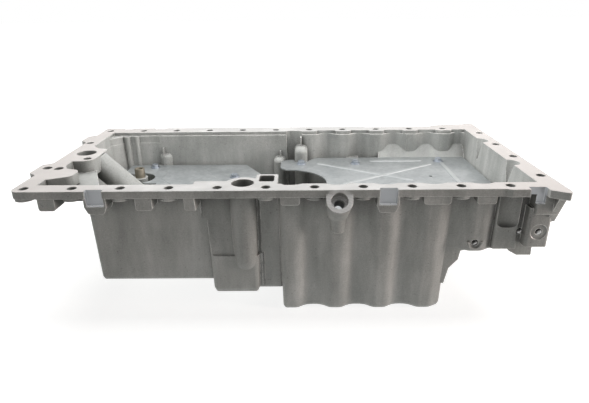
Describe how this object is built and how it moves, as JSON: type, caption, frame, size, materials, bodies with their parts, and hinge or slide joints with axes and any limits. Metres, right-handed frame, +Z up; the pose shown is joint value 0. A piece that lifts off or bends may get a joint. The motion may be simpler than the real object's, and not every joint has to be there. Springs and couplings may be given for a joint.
{
  "type": "engine oil pan",
  "caption": "Cast engine oil pan with a corrugated deep sump, machined gasket flange, two sheet-metal baffles and a drain plug.",
  "frame": {"origin": "on the floor under the middle of the pan, at the underside of the deep sump", "axes": "+X along the pan towards the gearbox end, +Y from the front rail to the back rail, +Z up to the gasket face"},
  "size_m": [0.5274, 0.2813, 0.14],
  "materials": {
    "cast_aluminium": "satin",
    "galvanised_sheet": "satin",
    "zinc_steel": "satin",
    "sintered_brass": "satin",
    "washer_aluminium": "satin",
    "plug_steel": "satin"
  },
  "bodies": {
    "root": {"pan_casting": "cast_aluminium", "right_baffle": "galvanised_sheet", "left_baffle": "galvanised_sheet", "baffle_screw_1": "zinc_steel", "baffle_screw_2": "zinc_steel", "baffle_screw_3": "zinc_steel", "baffle_screw_4": "zinc_steel", "baffle_screw_5": "zinc_steel", "baffle_screw_6": "zinc_steel", "baffle_screw_7": "zinc_steel", "baffle_screw_8": "zinc_steel", "suction_bush": "sintered_brass", "drain_washer": "washer_aluminium", "drain_plug": "plug_steel"}
  },
  "joints": []
}
